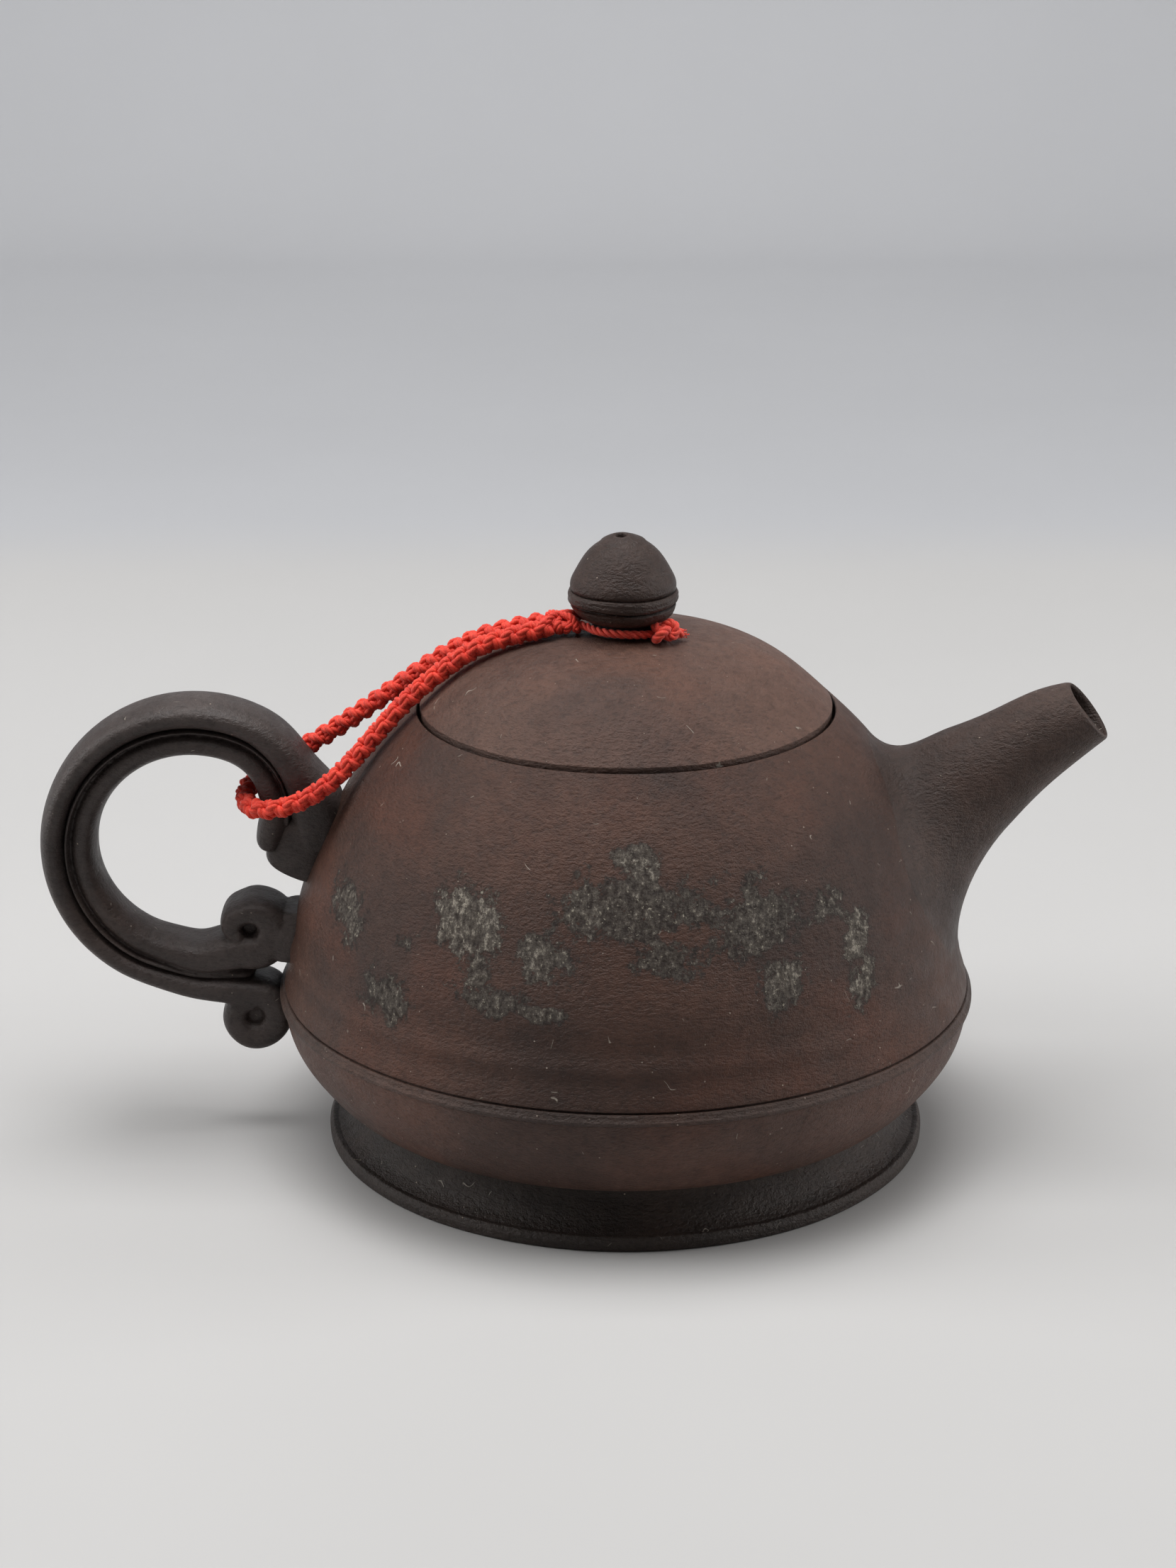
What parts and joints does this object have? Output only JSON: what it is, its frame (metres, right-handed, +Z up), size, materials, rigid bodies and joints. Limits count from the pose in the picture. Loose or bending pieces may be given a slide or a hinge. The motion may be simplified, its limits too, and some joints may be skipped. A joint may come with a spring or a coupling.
{
  "type": "clay teapot",
  "caption": "Small round unglazed clay teapot with a flush domed lid tied by a red braided cord, a looped scroll handle and a short tapered spout.",
  "frame": {"origin": "centre of the foot ring, in the plane that the pot stands on", "axes": "+Z up along the pot's axis, +X towards the spout, -X towards the handle"},
  "size_m": [0.1429, 0.0938, 0.0835],
  "materials": {
    "clay_brown": "satin, fine grain",
    "clay_inside": "matte",
    "clay_foot": "matte",
    "clay_handle": "satin, burnished",
    "clay_knob": "satin",
    "cord_braid": "braided",
    "cord_thread": "twisted"
  },
  "bodies": {
    "pot": {"foot_ring": "clay_foot", "base_disc": "clay_inside", "lower_bowl": "clay_brown", "girdle_band": "clay_brown", "body_dome": "clay_brown", "mouth_ring": "clay_inside", "strainer": "clay_inside", "spout": "clay_brown", "handle_root": "clay_handle", "handle_outer_band": "clay_handle", "handle_inner_band": "clay_handle", "upper_scroll": "clay_handle", "lower_scroll": "clay_handle", "braided_cord": "cord_braid"},
    "tie": {"neck_loop": "cord_thread", "left_knot": "cord_thread", "right_knot": "cord_thread", "cord_tail": "cord_thread"},
    "lid": {"lid_dome": "clay_brown", "lid_flange": "clay_inside", "knob_neck": "clay_knob", "knob": "clay_knob"}
  },
  "joints": [
    {"name": "lid_lift", "type": "slide", "parent": "pot", "child": "tie", "axis": [0, 0, 1], "range_m": [0, 0.011], "deforming": ["braided_cord"]},
    {"name": "lid_spin", "type": "hinge", "parent": "tie", "child": "lid", "pos_m": [0, 0, 0.07], "axis": [0, 0, 1], "continuous": true}
  ]
}
